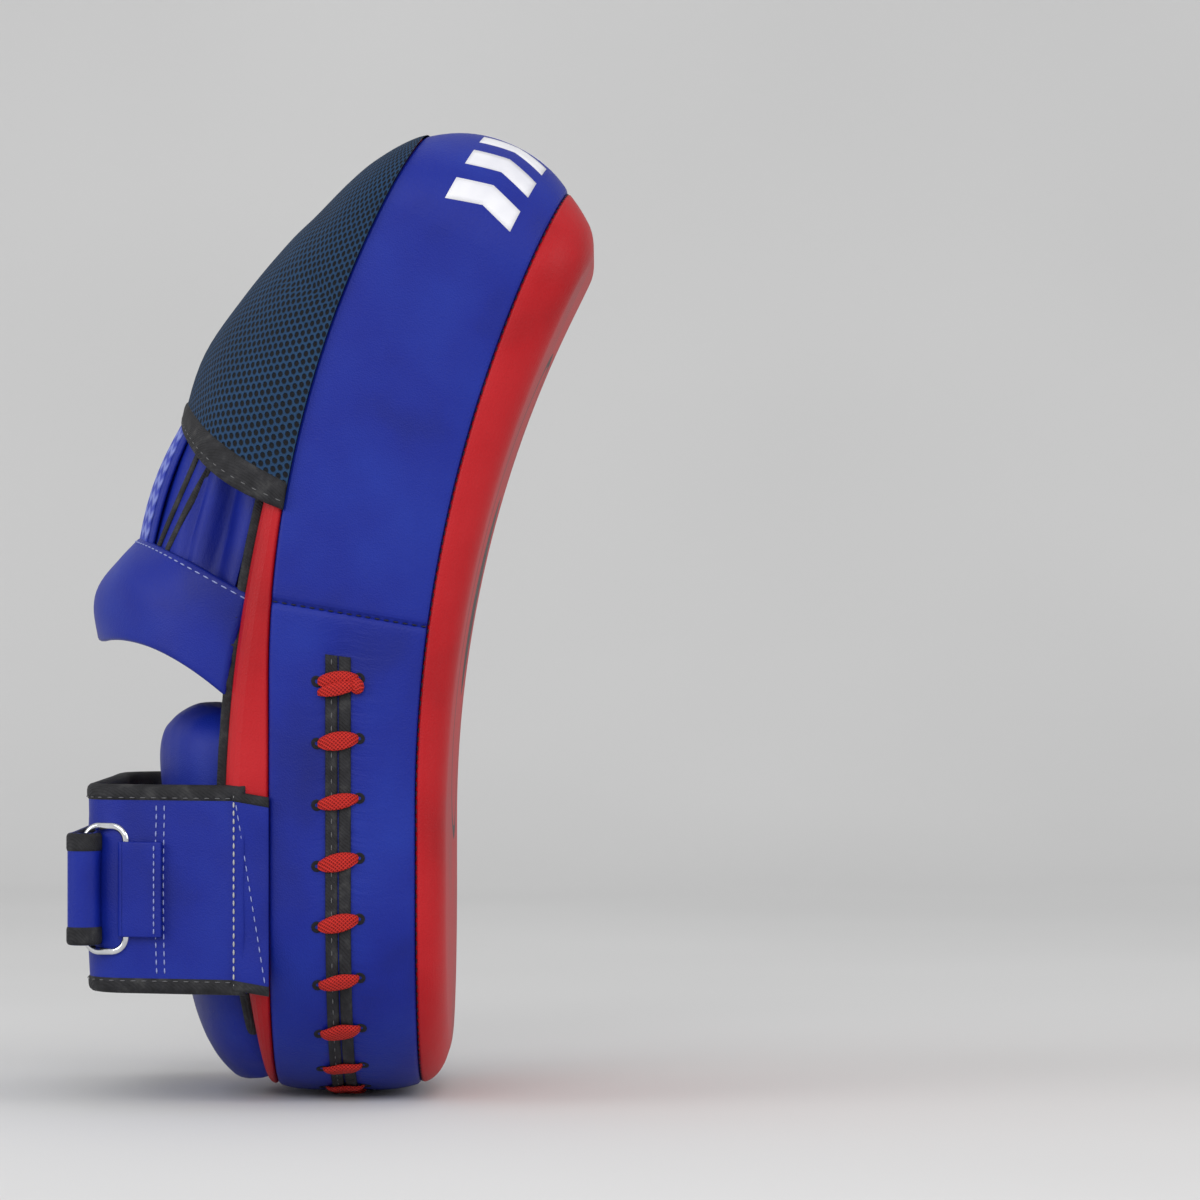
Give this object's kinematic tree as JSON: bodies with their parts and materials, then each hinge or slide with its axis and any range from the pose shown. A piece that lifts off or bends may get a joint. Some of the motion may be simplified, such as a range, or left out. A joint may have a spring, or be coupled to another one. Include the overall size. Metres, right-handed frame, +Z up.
{
  "type": "thai pad",
  "caption": "Curved leather-covered foam striking pad with a laced cover, mesh finger hood, padded wrist cushion and a buckled wrist cuff.",
  "frame": {"origin": "middle of the whole pad in plan, at the height of its lowest point, the lace crossings under the rounded lower end", "axes": "+Z up the length of the pad, +X out of the striking face, -Y towards the side with the ring"},
  "size_m": [0.2098, 0.1968, 0.39],
  "materials": {
    "blue_leather": "fine-grained satin artificial leather",
    "red_leather": "fine-grained satin artificial leather",
    "navy_mesh": "open 3-D air mesh",
    "black_binding": "folded leather-cloth binding, stitched",
    "red_lace": "flat braided lace",
    "loop_tape": "woven loop tape",
    "hook_tape": "hook tape",
    "chrome_wire": "bright plated wire",
    "soft_foam": "soft open-cell foam",
    "core_foam": "layered closed-cell foam",
    "firm_foam": "firm closed-cell foam"
  },
  "bodies": {
    "pad": {"front_skin": "red_leather", "rear_skin": "red_leather", "side_band_upper": "blue_leather", "side_band_lower": "blue_leather", "impact_foam": "soft_foam", "core_foam": "core_foam", "backing_foam": "firm_foam", "opening_binding_rear": "black_binding", "opening_binding_front": "black_binding", "lace": "red_lace", "hood": "navy_mesh", "hood_binding": "black_binding", "finger_band": "blue_leather", "finger_panel": "blue_leather", "finger_strap": "blue_leather", "finger_strap_tape": "loop_tape", "finger_gusset_near": "blue_leather", "finger_gusset_far": "blue_leather", "finger_piping_near": "black_binding", "finger_piping_far": "black_binding", "wrist_piping_near": "black_binding", "wrist_piping_far": "black_binding", "palm_bar_cover": "blue_leather", "palm_bar_foam": "firm_foam", "wrist_cushion_cover": "blue_leather", "wrist_cushion_foam": "soft_foam", "cuff": "blue_leather", "cuff_binding_upper": "black_binding", "cuff_binding_lower": "black_binding", "cuff_anchor_near": "blue_leather", "cuff_anchor_far": "blue_leather", "ring_keeper": "blue_leather", "closing_strap": "blue_leather", "closing_strap_turn": "blue_leather", "closing_strap_loop_tape": "loop_tape"},
    "ring": {"strap_ring": "chrome_wire"},
    "flap": {"closing_flap": "blue_leather", "closing_flap_hook_tape": "hook_tape"}
  },
  "joints": [
    {"name": "ring_pivot", "type": "hinge", "parent": "pad", "child": "ring", "pos_m": [-0.08227, -0.08348, 0.088], "axis": [0, 0, 1], "range_deg": [-3, 3]},
    {"name": "flap_peel", "type": "hinge", "parent": "pad", "child": "flap", "pos_m": [-0.10489, -0.07842, 0.088], "axis": [0, 0, 1], "range_deg": [0, 140]}
  ]
}
